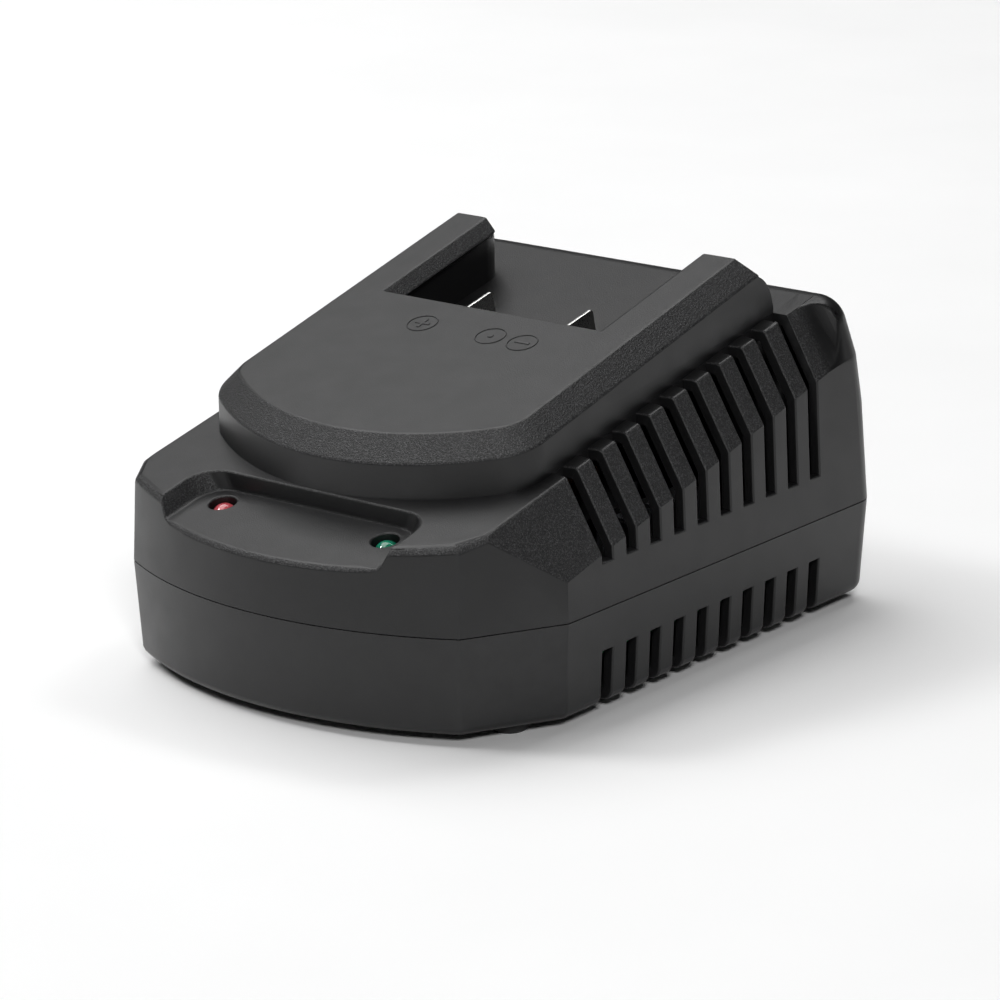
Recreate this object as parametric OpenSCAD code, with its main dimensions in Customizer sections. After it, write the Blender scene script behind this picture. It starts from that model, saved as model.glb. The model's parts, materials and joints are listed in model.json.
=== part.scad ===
// Desktop charger for slide-on power tool batteries.
// X is the width, Y runs from the bowed front to the rear, Z is up.
// The modules measure Y from the front bow and Z from the table.

/* [Housing] */
// Width of the housing at the seam, mm
body_width = 110; // [104:1:135]
// Depth of the housing at the seam, mm
body_depth = 142; // [136:1:172]
// Height of the seam between the two shells, mm
seam_height = 23; // [21:0.5:28]
// Height of the rubber feet under the tray, mm
foot_height = 2; // [1:0.25:3]
// Wall thickness of both shells, mm
wall = 2.5; // [2:0.1:3]
// Radius of the bowed front in plan, mm
bow_radius = 89.4; // [80:0.1:110]
// Depth along each side where the front chamfer ends, mm
chamfer_depth = 32; // [28:0.5:40]
// How far each front chamfer comes in from the side, mm
chamfer_width = 11.2; // [8:0.1:14]
// Radius of the rear vertical corners, mm
rear_corner_radius = 6.2; // [5:0.1:9]
// Radius of the rear top edge, mm
rear_top_radius = 7; // [5:0.25:8]
// How far the rear top corners stand out from the flanks, mm
corner_stand = 3.4; // [1:0.1:4]
// Radius of the lower edge of the tray, mm
base_edge_radius = 2.5; // [1.5:0.25:3.5]
// Lean of the lower walls, degrees
lower_draft = 3.1; // [1:0.1:4]
// Lean of the upper side walls, degrees
upper_draft = 2.5; // [1:0.1:4]
// Lean of the rear wall above the seam, degrees
rear_lean = 3; // [2:0.1:4]
// Lean of the rear wall below its top edge, degrees
rear_top_lean = 9; // [5:0.1:11]

/* [Deck and vents] */
// Height of the sloping deck above the table at the front, mm
deck_front_height = 39; // [37:0.5:46]
// Slope of the deck, degrees
deck_slope = 12.84; // [10:0.1:14]
// Distance of the deck edge in from the side, mm
deck_edge_inset = 9.3; // [8:0.1:11]
// Steepness of the slanting flank, degrees
flank_steepness = 59.2; // [52:0.2:66]
// Number of vent slots along each side
slot_count = 10; // [6:1:12]
// Spacing of the vent slots, mm
slot_pitch = 8.1; // [6.5:0.1:10]
// Width of one vent slot, mm
slot_width = 3.4; // [2.4:0.1:4.2]
// Distance from the front to the first vent slot, mm
slot_start = 43.8; // [42:0.2:48]
// Height where the upper slots end, mm
upper_slot_floor = 32.5; // [30:0.5:36]
// Height where the lower slots end, mm
lower_slot_top = 13.7; // [10:0.1:17]

/* [Battery dock] */
// Distance from the front bow to the tongue of the platform, mm
tongue_front = 25; // [24:0.5:32]
// Height of the platform above the table at the front bow, mm
platform_front_height = 49.6; // [48:0.2:56]
// Slope of the platform, degrees
platform_slope = 14.74; // [13:0.1:17]
// Width of the deck strip beside the platform, mm
side_strip = 3.6; // [3:0.1:5]
// Width of the bevel round the platform, mm
bevel_width = 4.5; // [3:0.1:6]
// Drop of the bevel round the platform, mm
bevel_drop = 4.1; // [3:0.1:5]
// Corner radius of the tongue, mm
tongue_corner_radius = 6.6; // [5:0.2:10]
// Radius of the tongue front, mm
tongue_radius = 60; // [50:1:90]
// Distance from the front bow to the dock pocket, mm
pocket_front = 76.6; // [74:0.2:80]
// Distance from the front bow to the rear end of the rails, mm
rail_end = 112.5; // [108:0.5:120]
// Width of each rail across its flat top, mm
rail_width = 8; // [7:0.1:10]
// How far each rail lip stands into the pocket, mm
lip_reach = 2.7; // [1.5:0.1:3.2]
// Thickness of the contact blades, mm
blade_thickness = 0.8; // [0.6:0.1:1]
// Height of the power blades above the deck, mm
blade_height = 9.8; // [7:0.2:9.8]
// Position of the plus blade from the middle, mm
plus_blade_x = -10.6; // [-13:0.2:-9]
// Position of the sense blade from the middle, mm
sense_blade_x = 7.8; // [4:0.2:9]
// Position of the minus blade from the middle, mm
minus_blade_x = 16.4; // [14:0.2:18]

/* [Lamps] */
// Depth of the lamp recess in the deck, mm
recess_depth = 4; // [3:0.1:5]
// Half width of the lamp recess floor, mm
recess_half_width = 29; // [26:0.5:31]
// Distance of each lamp from the middle, mm
lamp_x = 21.8; // [15:0.2:22]
// Diameter of the lamps, mm
lamp_diameter = 5; // [3:0.5:5]

/* [Inside] */
// Thickness of the circuit boards, mm
board_thickness = 1.6; // [1:0.1:2]
// Height of the main board above the tray floor, mm
board_lift = 3.2; // [2.6:0.1:4]
// Outer diameter of the housing screw posts, mm
post_diameter = 9; // [8.6:0.1:10]
// Diameter of the housing screws, mm
screw_diameter = 2.9; // [2.5:0.1:3.2]
// Diameter of the rubber feet, mm
foot_diameter = 8; // [7:0.5:9]
// Width of the mains inlet, mm
inlet_width = 20; // [19:0.5:24]
// Height of the mains inlet, mm
inlet_height = 11; // [10:0.25:11.5]
// Clearance between fitted pieces, mm
fit_gap = 0.15; // [0.1:0.05:0.3]

/* [Hidden] */
$fn = 32;
half_width = body_width / 2;
front_half_width = half_width - chamfer_width;
bow_sag = bow_radius - sqrt(bow_radius * bow_radius - front_half_width * front_half_width);
lower_tan = tan(lower_draft);
upper_tan = tan(upper_draft);
rear_tan = tan(rear_lean);
rear_top_tan = tan(rear_top_lean);
deck_tan = tan(deck_slope);
top_tan = tan(platform_slope);
flank_tan = tan(flank_steepness);
base_z = foot_height;
floor_z = base_z + wall;
deck_edge_x = half_width - deck_edge_inset;
rear_bend_rise = 22;
rear_bend_y = body_depth - rear_tan * rear_bend_rise;
rear_bend_z = seam_height + rear_bend_rise;
// Radii of the small edges of the upper shell
bow_edge_radius = 2.5;
front_corner_radius = 2;
deck_edge_radius = 1.2;
crease_radius = 0.5;
// Small offset that keeps two nearly flush faces apart
skin = 0.02;
// Planes as [nx, ny, nz, distance], each pointing outward
chamfer_run = chamfer_depth - bow_sag;
chamfer_length = sqrt(chamfer_width * chamfer_width + chamfer_run * chamfer_run);
chamfer_nx = chamfer_run / chamfer_length;
chamfer_ny = -chamfer_width / chamfer_length;
chamfer_c = chamfer_nx * half_width + chamfer_ny * chamfer_depth;
deck_plane = [0, -deck_tan, 1, deck_front_height];
flank_plane = [flank_tan, -deck_tan, 1, flank_tan * deck_edge_x + deck_front_height];
side_plane = [1, 0, upper_tan, half_width + upper_tan * seam_height];
rear_plane = [0, 1, rear_top_tan, rear_bend_y + rear_top_tan * rear_bend_z];
edge_front_plane = [0, -1, 0, 12 - chamfer_depth];
edge_rear_plane = [0, 1, 0, body_depth - 16];
chamfer_plane = [chamfer_nx, chamfer_ny, upper_tan, chamfer_c + upper_tan * seam_height];
// Battery dock
flank_foot_x = deck_edge_x - side_strip;
platform_x = flank_foot_x - bevel_width;
pocket_x = platform_x - rail_width;
rail_wall_x = pocket_x - 0.5;
rail_tail = rail_end + 7.8;
rail_slant = 2.9;
rail_round = 8.3;
rail_corner_radius = 9;
lip_drop = 2.8;
lip_foot = 4.7;
lip_end_x = pocket_x + 1;
stop_length = 3.4;
recess_length = 20.2;
recess_corner_radius = 6.5;
recess_floor_radius = 1.2;
recess_flare = 2.2;
slot_inner_x = flank_foot_x + 0.1;
seam_gap = 0.2;
// Inside
board_z = floor_z + board_lift;
board_top = board_z + board_thickness;
board_x = half_width - 11;
board_front = 34;
board_rear = body_depth - 19;
board_tail_x = 30;
board_tail_rear = body_depth - 6;
post_joint_z = seam_height - 3;
post_seat_z = base_z + 10;
front_post = [half_width - 22, 21];
rear_post = [half_width - 19.5, body_depth - 11];
board_post = [board_x - 5, board_front + 5];
board_post_rear = board_rear - 5;
head_diameter = screw_diameter + 2.7;
head_height = 2;
pilot_gap = 0.1;
foot_spot = [half_width - 11.5, 27];
foot_rear_spot = [half_width - 10, body_depth - 12];
foot_pocket = 1.2;
lamp_axis = 14.9;
lamp_hole = lamp_diameter + 0.8;
lamp_tip = recess_depth + 0.4;
lamp_length = 8.6;
lamp_dome = 1.6;
lamp_board_w = lamp_tip + lamp_length;
lamp_board_x = 26;
lamp_post_x = 11;
holder_left = plus_blade_x - 4.4;
holder_right = minus_blade_x + 4.6;
inlet_front = body_depth - 20;
pin_spacing = 8.6;
pin_diameter = 2.4;
inlet_depth = 10;
inlet_rear = body_depth - 0.9;
scoop_radius = 12;
scoop_run = 4;
corner_run = 12;
transformer_y = 94;
transformer_lift = 12.8;
core_size = [30, 28, 10];
core_leg = 9;
core_window = [6.3, 17];
lead_y = 78.5;
blade_front_v = 75;
blade_rear_v = 94.8;
block_front_v = 73;
block_rear_v = 97;
lamp_screw_diameter = 2;
dark = [0.16, 0.16, 0.17];
black = [0.1, 0.1, 0.1];
board_green = [0.1, 0.35, 0.18];
copper = [0.72, 0.42, 0.2];
steel = [0.62, 0.63, 0.65];
rubber = [0.07, 0.07, 0.07];
metal = [0.85, 0.85, 0.86];

function det3(a, b, c) = a[0] * (b[1] * c[2] - b[2] * c[1])
  - a[1] * (b[0] * c[2] - b[2] * c[0])
  + a[2] * (b[0] * c[1] - b[1] * c[0]);
function vec(p) = [p[0], p[1], p[2]];
function column(a, b, c, i) = [a[i], b[i], c[i]];
// Point that lies at distance d inside each of three planes
function inside3(p, q, s, d) = let(
  r = [p[3] - d * norm(vec(p)), q[3] - d * norm(vec(q)), s[3] - d * norm(vec(s))],
  cx = column(p, q, s, 0),
  cy = column(p, q, s, 1),
  cz = column(p, q, s, 2),
  m = det3(cx, cy, cz)
) [det3(r, cy, cz) / m, det3(cx, r, cz) / m, det3(cx, cy, r) / m];
function sphere_radius(r, t) = max(r - t, 0.4);
function sphere_depth(r, t) = t + sphere_radius(r, t);
// Angle along the bow where it meets the chamfer, at distance d inside and height rise h
function bow_end(d, h, lean) = let(
  r = bow_radius - d - lean * h,
  c = chamfer_c - d - lean * h
) asin((c - chamfer_ny * bow_radius) / r) - atan2(-chamfer_ny, chamfer_nx);
function bow_point(a, d, h, lean) = let(r = bow_radius - d - lean * h)
  [r * sin(a), bow_radius - r * cos(a)];
bow_steps = 32;
// Front half of the plan outline at distance d inside the walls
function plan_front(d, h, lean) = let(
  e = bow_end(d, h, lean),
  x = half_width - d - lean * h,
  y = (chamfer_nx * x - (chamfer_c - d - lean * h)) / -chamfer_ny
) concat(
  [[-x, y]],
  [for (i = [0:bow_steps]) bow_point(-e + 2 * e * i / bow_steps, d, h, lean)],
  [[x, y]]
);

// The origin of the part lies under the middle of its bounding box
module in_row_frame() {
  translate([0, -body_depth / 2, 0]) children();
}

module on_deck() {
  translate([0, 0, deck_front_height]) rotate([deck_slope, 0, 0]) children();
}

module both_sides() {
  children();
  mirror([1, 0, 0]) children();
}

module plan_plate(d, z, h, lean) {
  front = plan_front(d, h, lean);
  rear = body_depth - rear_corner_radius;
  translate([0, 0, z]) linear_extrude(0.01) polygon(front);
  both_sides() translate([
    half_width - lean * h - rear_corner_radius,
    rear - lean * h,
    z
  ]) cylinder(h = 0.01, r = rear_corner_radius - d);
}

// Ball of radius r in the corner of three planes, or its core at distance d inside them
module corner_ball(p, q, s, r, d) {
  translate(inside3(p, q, s, sphere_depth(r, d))) sphere(r = sphere_radius(r, d), $fn = r > 3 ? 48 : 24);
}

// Outer or inner form of the upper shell, at distance d inside its walls
module upper_form(d) {
  deep = sphere_depth(bow_edge_radius, d);
  lift = d > 0 ? -1 : 0;
  rise = deck_front_height - seam_height;
  hull() {
    plan_plate(d, seam_height + lift, 0, 0);
    for (i = [0:bow_steps]) {
      e = bow_end(deep, rise, upper_tan);
      p = bow_point(-e + 2 * e * i / bow_steps, deep, rise, upper_tan);
      translate([p[0], p[1], deck_front_height + deck_tan * p[1] - deep * norm(vec(deck_plane))])
        sphere(r = sphere_radius(bow_edge_radius, d), $fn = 24);
    }
    both_sides() {
      corner_ball(deck_plane, flank_plane, chamfer_plane, front_corner_radius, d);
      corner_ball(deck_plane, flank_plane, edge_front_plane, deck_edge_radius, d);
      corner_ball(deck_plane, flank_plane, edge_rear_plane, deck_edge_radius, d);
      corner_ball(side_plane, flank_plane, chamfer_plane, crease_radius, d);
      corner_ball(side_plane, flank_plane, edge_rear_plane, crease_radius, d);
      corner_ball(side_plane, flank_plane, rear_plane, rear_corner_radius, d);
      corner_ball(deck_plane, flank_plane, rear_plane, rear_top_radius, d);
      translate([
        half_width - upper_tan * rear_bend_rise - rear_corner_radius,
        rear_bend_y - rear_corner_radius,
        rear_bend_z
      ]) cylinder(h = 0.01, r = rear_corner_radius - d);
    }
  }
}

// Rear corners of the upper shell, which stand out behind the scooped flanks
module rear_corners() {
  top = inside3(deck_plane, flank_plane, rear_plane, rear_top_radius);
  low = inside3(side_plane, flank_plane, rear_plane, rear_corner_radius);
  difference() {
    hull() both_sides() for (y = [0, -corner_run]) translate([0, y - skin, deck_tan * y - skin]) {
      translate(top + [corner_stand, 0, 0]) sphere(r = rear_top_radius, $fn = 48);
      translate(low) sphere(r = rear_corner_radius, $fn = 48);
    }
    both_sides() scoop();
  }
}

// Room above one flank, ending in a hollow round in front of the rear corner
module scoop() {
  r = scoop_radius;
  top = inside3(deck_plane, flank_plane, rear_plane, rear_top_radius);
  length = norm([top[1], top[2] - deck_front_height]) + scoop_run;
  on_deck() translate([deck_edge_x, 0, 0]) rotate([0, atan(flank_tan * cos(deck_slope)), 0])
    translate([-15, 0, -skin]) rotate([90, 0, 90]) linear_extrude(60) difference() {
      square([length, 20]);
      difference() {
        translate([length - r, 0]) square([r, r]);
        translate([length - r, r]) circle(r = r, $fn = 64);
      }
    }
}

module lower_edge_disc(d, r, z) {
  e = sphere_radius(base_edge_radius, d);
  translate([0, 0, z]) rotate_extrude() translate([r - e, 0]) circle(r = e, $fn = 24);
}

// Outer or inner form of the tray, at distance d inside its walls
module lower_form(d) {
  e = sphere_radius(base_edge_radius, d);
  deep = d + e;
  z = base_z + deep;
  h = seam_height - z;
  lift = d > 0 ? 1 : 0;
  points = plan_front(deep, h, lower_tan);
  hull() {
    plan_plate(d, seam_height - 0.01 + lift, 0, 0);
    for (p = points) translate([p[0], p[1], z]) sphere(r = e, $fn = 16);
    both_sides() translate([
      half_width - rear_corner_radius - lower_tan * h,
      body_depth - rear_corner_radius - lower_tan * h,
      0
    ]) lower_edge_disc(d, rear_corner_radius - d, z);
  }
}

// Plan outline of the platform, grown outward by g and ending at the depth e
function tongue_points(g, e) = let(
  r = tongue_corner_radius,
  cx = platform_x - r,
  cy = tongue_front + tongue_radius,
  dy = sqrt((tongue_radius - r) * (tongue_radius - r) - cx * cx),
  a = atan2(cx, dy),
  y = cy - dy,
  n = 32,
  m = 12
) concat(
  [[-platform_x - g, e]],
  [for (i = [0:m]) let(t = 90 - (90 - a) * i / m) [-cx - (r + g) * sin(t), y - (r + g) * cos(t)]],
  [for (i = [1:n - 1]) let(t = -a + 2 * a * i / n)
    [(tongue_radius + g) * sin(t), cy - (tongue_radius + g) * cos(t)]],
  [for (i = [0:m]) let(t = a + (90 - a) * i / m) [cx + (r + g) * sin(t), y - (r + g) * cos(t)]],
  [[platform_x + g, e]]
);

module tilted_plate(drop, g, e) {
  intersection() {
    translate([0, 0, 20]) linear_extrude(100) polygon(tongue_points(g, e));
    translate([0, 0, platform_front_height - drop]) rotate([platform_slope, 0, 0])
      translate([-100, -20, -0.01]) cube([200, 200, 0.01]);
  }
}

module below_top(drop) {
  translate([0, 0, platform_front_height - drop]) rotate([platform_slope, 0, 0])
    translate([-100, -40, -100]) cube([200, 240, 100]);
}

// Platform block at distance d inside its faces
module platform_form(d, e, tail) {
  hull() {
    tilted_plate(d * 1.04, -d, e);
    tilted_plate(bevel_drop + d * 0.5, bevel_width - d, e);
  }
  intersection() {
    translate([0, 0, 30]) linear_extrude(80) polygon(tongue_points(bevel_width - d, tail));
    below_top(bevel_drop + d * 0.5);
  }
}

// Rear end of the rails seen from the side: a slant that runs into a round
module rail_end_form() {
  top = platform_front_height + top_tan * rail_end;
  foot_y = rail_end + rail_slant;
  foot_z = top - bevel_drop;
  r = rail_round;
  centre_y = rail_tail - r;
  centre_z = foot_z - sqrt(r * r - (foot_y - centre_y) * (foot_y - centre_y));
  start = atan2(foot_z - centre_z, foot_y - centre_y);
  rotate([90, 0, 90]) translate([0, 0, -80]) linear_extrude(160) polygon(concat(
    [[0, 0], [0, 120], [rail_end, 120], [rail_end, top]],
    [for (i = [0:12]) let(t = start * (1 - i / 12)) [centre_y + r * cos(t), centre_z + r * sin(t)]],
    [[rail_tail, 0]]
  ));
}

// Plan of the rails, with their inner rear corners rounded
module rail_plan() {
  x = rail_wall_x + rail_corner_radius;
  y = rail_tail - rail_corner_radius;
  translate([0, 0, 20]) linear_extrude(100) {
    translate([-70, 0]) square([140, y]);
    both_sides() {
      translate([x, y]) circle(r = rail_corner_radius, $fn = 48);
      translate([x, 0]) square([70 - x, rail_tail]);
    }
  }
  // The lips reach a little behind the start of the round
  difference() {
    translate([-lip_end_x, 0, 20]) cube([2 * lip_end_x, rail_end, 100]);
    below_top(lip_foot / cos(platform_slope));
  }
}

// Section of the pocket across the rails, with the lips standing into it
module lip_cut() {
  right = [
    [pocket_x, 1],
    [pocket_x, 0],
    [pocket_x - lip_reach, -lip_drop],
    [rail_wall_x, -lip_foot],
    [rail_wall_x, -40]
  ];
  left = [for (i = [len(right) - 1:-1:0]) [-right[i][0], right[i][1]]];
  translate([0, 0, platform_front_height]) rotate([platform_slope, 0, 0]) rotate([90, 0, 0])
    translate([0, 0, -rail_end - 24]) linear_extrude(80) polygon(concat(right, left));
}

module dock_pocket() {
  difference() {
    intersection() {
      lip_cut();
      translate([-60, pocket_front, 40]) cube([120, 60, 60]);
      on_deck() translate([-60, 0, -wall - 1]) cube([120, 200, 60]);
    }
    both_sides() intersection() {
      translate([pocket_x - lip_reach, pocket_front - 1, 40]) cube([8, stop_length + 1, 50]);
      below_top(lip_drop / cos(platform_slope));
    }
  }
  // The lips end square where the tops of the rails begin to fall
  both_sides() difference() {
    translate([lip_end_x - 8, rail_end, 40]) cube([8, 10, 60]);
    below_top((lip_foot + 0.3) / cos(platform_slope));
  }
}

module platform_cavity() {
  intersection() {
    platform_form(wall, rail_end - wall, rail_end - 1);
    union() {
      translate([-60, 0, 0]) cube([120, pocket_front - wall, 120]);
      both_sides() translate([rail_wall_x + wall, 0, 0]) cube([40, rail_end - wall, 120]);
    }
    on_deck() translate([-60, 0, -20]) cube([120, 200, 60]);
  }
}

module recess_plan(g) {
  r = recess_corner_radius;
  x = recess_half_width + g;
  y = recess_length + g * 0.2;
  translate([-x, -20]) square([2 * x, 20 + y - r]);
  both_sides() translate([x - r, y - r]) circle(r = r);
  translate([-x + r, 0]) square([2 * x - 2 * r, y]);
}

module recess_cut() {
  r = recess_floor_radius;
  on_deck() hull() {
    for (a = [0, 30, 60, 90]) translate([0, 0, -recess_depth + r * (1 - cos(a))])
      linear_extrude(0.01) recess_plan(-r * (1 - sin(a)));
    translate([0, 0, 1]) linear_extrude(0.01) recess_plan(recess_flare);
  }
}

module recess_tub() {
  intersection() {
    on_deck() translate([-recess_half_width - 4, 0, -recess_depth - wall])
      cube([2 * recess_half_width + 8, 22.8, recess_depth + wall - 0.3]);
    translate([0, bow_radius, 20]) cylinder(h = 40, r = bow_radius - 1.5);
  }
}

module upper_slots() {
  for (i = [0:slot_count - 1])
    both_sides() translate([slot_inner_x, slot_start + i * slot_pitch, upper_slot_floor])
      cube([20, slot_width, 60]);
}

module lower_slots() {
  for (i = [0:slot_count - 1])
    both_sides() translate([half_width - 5.5, slot_start + i * slot_pitch, -1])
      cube([10, slot_width, lower_slot_top + 1]);
}

module at_posts() {
  both_sides() {
    translate([front_post[0], front_post[1], 0]) children();
    translate([rear_post[0], rear_post[1], 0]) children();
  }
}

module upper_posts() {
  top = inside3(deck_plane, flank_plane, rear_plane, rear_top_radius)[2] + rear_top_radius;
  intersection() {
    at_posts() translate([0, 0, post_joint_z]) cylinder(h = 60, d = post_diameter);
    on_deck() translate([-80, -30, -80]) cube([160, 240, 79.4]);
    translate([-80, 0, 0]) cube([160, 200, top - wall - 0.7]);
  }
}

module upper_housing() in_row_frame() {
  color(dark) difference() {
    union() {
      difference() {
        union() {
          upper_form(0);
          rear_corners();
        }
        upper_form(wall);
      }
      difference() {
        intersection() {
          platform_form(0, rail_end + rail_slant, rail_tail);
          on_deck() translate([-60, 0, -wall]) cube([120, 200, 60]);
          rail_end_form();
          rail_plan();
        }
        dock_pocket();
      }
      upper_posts();
      translate([0, 0, seam_height - 3]) locating_ribs();
      recess_tub();
      on_deck() both_sides() translate([lamp_post_x, lamp_axis, -lamp_board_w])
        cylinder(h = lamp_board_w - recess_depth - 1, d = 6);
      holder_posts();
    }
    platform_cavity_open();
    recess_cut();
    upper_slots();
    holder_opening();
    on_deck() both_sides() {
      translate([lamp_x, lamp_axis, -20]) cylinder(h = 40, d = lamp_hole);
      translate([lamp_post_x, lamp_axis, -lamp_board_w - 1]) cylinder(h = 7, d = 2.2);
    }
    at_posts() translate([0, 0, post_joint_z - 1]) cylinder(h = 15, d = screw_diameter + pilot_gap);
    holder_pilots();
  }
}

module holder_post_places() {
  for (x = [holder_left - 5, holder_right + 5]) translate([x, 64, 0]) children();
}

module holder_posts() {
  intersection() {
    on_deck() holder_post_places() translate([0, 0, -wall]) cylinder(h = 20, d = 7);
    below_top(0.8);
  }
}

module holder_pilots() {
  on_deck() holder_post_places() translate([0, 0, -wall - 1]) cylinder(h = 9, d = 2.5);
}

module platform_cavity_open() {
  difference() {
    platform_cavity();
    on_deck() holder_post_places() translate([0, 0, -wall]) cylinder(h = 30, d = 7);
  }
}

module blade_room(x) {
  translate([x - blade_thickness / 2 - 0.3, 70, -wall - 1])
    cube([blade_thickness + 0.6, 16, blade_height + 0.3 + wall + 1]);
}

module holder_opening() {
  on_deck() {
    translate([holder_left - fit_gap, 70, -wall - 1])
      cube([holder_right - holder_left + 2 * fit_gap, 27 + fit_gap, wall + 1 + 2 * skin]);
    blade_room(plus_blade_x);
    blade_room(sense_blade_x);
    blade_room(minus_blade_x);
  }
}

module locating_ribs() {
  x = half_width - wall - 2.2;
  both_sides() {
    for (y = [40, body_depth / 2, body_depth - 30]) translate([x, y, 0]) cube([1.6, 8, 5]);
    translate([x, 40, 3.2]) cube([2.4, 8, 1.8]);
    translate([x, body_depth / 2, 3.2]) cube([2.4, 8, 1.8]);
    translate([x, body_depth - 30, 3.2]) cube([2.4, 8, 1.8]);
  }
}

module lower_housing() in_row_frame() {
  color(dark) difference() {
    union() {
      difference() {
        lower_form(0);
        lower_form(wall);
      }
      at_posts() translate([0, 0, base_z + 1]) cylinder(h = post_joint_z - base_z - 1, d = post_diameter);
      board_post_places() translate([0, 0, base_z + 1])
        cylinder(h = board_z - base_z - 1, d = 6.5);
    }
    seam_groove();
    lower_slots();
    at_posts() {
      translate([0, 0, -1]) cylinder(h = post_joint_z + 2, d = screw_diameter + 0.5);
      translate([0, 0, -1]) cylinder(h = post_seat_z + 1, d = head_diameter + 0.6);
    }
    board_post_places() translate([0, 0, base_z + 1]) cylinder(h = 20, d = 2.5);
    foot_places() cylinder(h = base_z + foot_pocket, d = foot_diameter + 0.2);
    translate([-inlet_width / 2 - fit_gap, inlet_front - 1, board_top])
      cube([inlet_width + 2 * fit_gap, 30, inlet_height + fit_gap]);
  }
}

module seam_groove() {
  difference() {
    translate([-half_width - 5, -5, seam_height - seam_gap]) cube([body_width + 10, body_depth + 10, 2]);
    translate([0, 0, seam_height - 1]) linear_extrude(4) seam_plan(0.9);
  }
}

module seam_plan(d) {
  r = rear_corner_radius;
  polygon(concat(plan_front(d, 0, 0), [
    [half_width - d, body_depth - r],
    [half_width - r, body_depth - r],
    [half_width - r, body_depth - d],
    [-half_width + r, body_depth - d],
    [-half_width + r, body_depth - r],
    [-half_width + d, body_depth - r]
  ]));
  both_sides() translate([half_width - r, body_depth - r]) circle(r = r - d);
}

module foot_places() {
  both_sides() {
    translate([foot_spot[0], foot_spot[1], 0]) children();
    translate([foot_rear_spot[0], foot_rear_spot[1], 0]) children();
  }
}

module board_post_places() {
  both_sides() {
    translate([board_post[0], board_post[1], 0]) children();
    translate([board_post[0], board_post_rear, 0]) children();
  }
}

module terminal_holder() in_row_frame() {
  color(black) on_deck() difference() {
    union() {
      translate([holder_left - 9, 60, -wall - 3])
        cube([holder_right - holder_left + 18, 40, 2.9]);
      translate([holder_left, block_front_v, -8])
        cube([holder_right - holder_left, block_rear_v - block_front_v, 8]);
    }
    for (x = [plus_blade_x, sense_blade_x, minus_blade_x])
      translate([x - blade_thickness / 2 - 0.03, blade_front_v - 0.05, -9])
        cube([blade_thickness + 0.06, blade_rear_v - blade_front_v + 0.1, 12]);
    holder_post_places() translate([0, 0, -wall - 4]) cylinder(h = 6, d = 2.8);
  }
}

module blade(x, height, rear) {
  color(metal) on_deck() translate([x - blade_thickness / 2, 0, 0]) {
    rotate([90, 0, 90]) linear_extrude(blade_thickness) polygon([
      [blade_front_v, -8],
      [blade_front_v + 1, -8],
      [blade_front_v + 1, -11],
      [blade_front_v + 5, -11],
      [blade_front_v + 5, -8],
      [blade_rear_v, -8],
      [blade_rear_v, -1],
      [rear, -1],
      [rear, height - 0.6],
      [rear - 0.6, height],
      [blade_front_v, height]
    ]);
  }
}

module blade_plus() in_row_frame() {
  blade(plus_blade_x, blade_height, blade_rear_v);
}

module blade_minus() in_row_frame() {
  blade(minus_blade_x, blade_height, blade_rear_v);
}

module blade_sense() in_row_frame() {
  blade(sense_blade_x, blade_height - 3.6, blade_rear_v - 7);
}

module plain_screw(d, length, head_d, head_h) {
  // Head below, shank upward from the seat
  color(steel) difference() {
    union() {
      cylinder(h = length, d = d);
      translate([0, 0, -head_h]) cylinder(h = head_h, d = head_d);
    }
    for (a = [0, 90]) rotate([0, 0, a]) translate([-head_d * 0.28, -0.35, -head_h - 1])
      cube([head_d * 0.56, 0.7, 1 + head_h * 0.55]);
  }
}

module holder_screw_left() in_row_frame() {
  on_deck() translate([holder_left - 5, 64, -wall - 3]) plain_screw(2.4, 9, 5, 1.6);
}

module holder_screw_right() in_row_frame() {
  on_deck() translate([holder_right + 5, 64, -wall - 3]) plain_screw(2.4, 9, 5, 1.6);
}

module main_board() in_row_frame() {
  color(board_green) difference() {
    union() {
      translate([-board_x, board_front, board_z])
        cube([2 * board_x, board_rear - board_front, board_thickness]);
      translate([-board_tail_x, board_rear - 1, board_z])
        cube([2 * board_tail_x, board_tail_rear - board_rear + 1, board_thickness]);
    }
    board_post_places() translate([0, 0, board_z - 1]) cylinder(h = 4, d = 2.9);
  }
}

module board_screw() {
  translate([0, 0, board_top]) mirror([0, 0, 1]) plain_screw(2.4, 6, 5, 1.8);
}

module board_screw_front_left() in_row_frame() {
  translate([-board_post[0], board_post[1], 0]) board_screw();
}

module board_screw_front_right() in_row_frame() {
  translate([board_post[0], board_post[1], 0]) board_screw();
}

module board_screw_rear_left() in_row_frame() {
  translate([-board_post[0], board_post_rear, 0]) board_screw();
}

module board_screw_rear_right() in_row_frame() {
  translate([board_post[0], board_post_rear, 0]) board_screw();
}

module housing_screw(place) {
  translate([place[0], place[1], post_seat_z])
    plain_screw(screw_diameter, post_joint_z - post_seat_z + 11, head_diameter, head_height);
}

module housing_screw_front_left() in_row_frame() {
  housing_screw([-front_post[0], front_post[1]]);
}

module housing_screw_front_right() in_row_frame() {
  housing_screw(front_post);
}

module housing_screw_rear_left() in_row_frame() {
  housing_screw([-rear_post[0], rear_post[1]]);
}

module housing_screw_rear_right() in_row_frame() {
  housing_screw(rear_post);
}

module foot(x, y) {
  color(rubber) translate([x, y, 0]) {
    translate([0, 0, 0.6]) cylinder(h = base_z + foot_pocket - 0.6, d = foot_diameter);
    cylinder(h = 0.6, r1 = foot_diameter / 2 - 0.6, r2 = foot_diameter / 2);
  }
}

module foot_front_left() in_row_frame() {
  foot(-foot_spot[0], foot_spot[1]);
}

module foot_front_right() in_row_frame() {
  foot(foot_spot[0], foot_spot[1]);
}

module foot_rear_left() in_row_frame() {
  foot(-foot_rear_spot[0], foot_rear_spot[1]);
}

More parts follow.
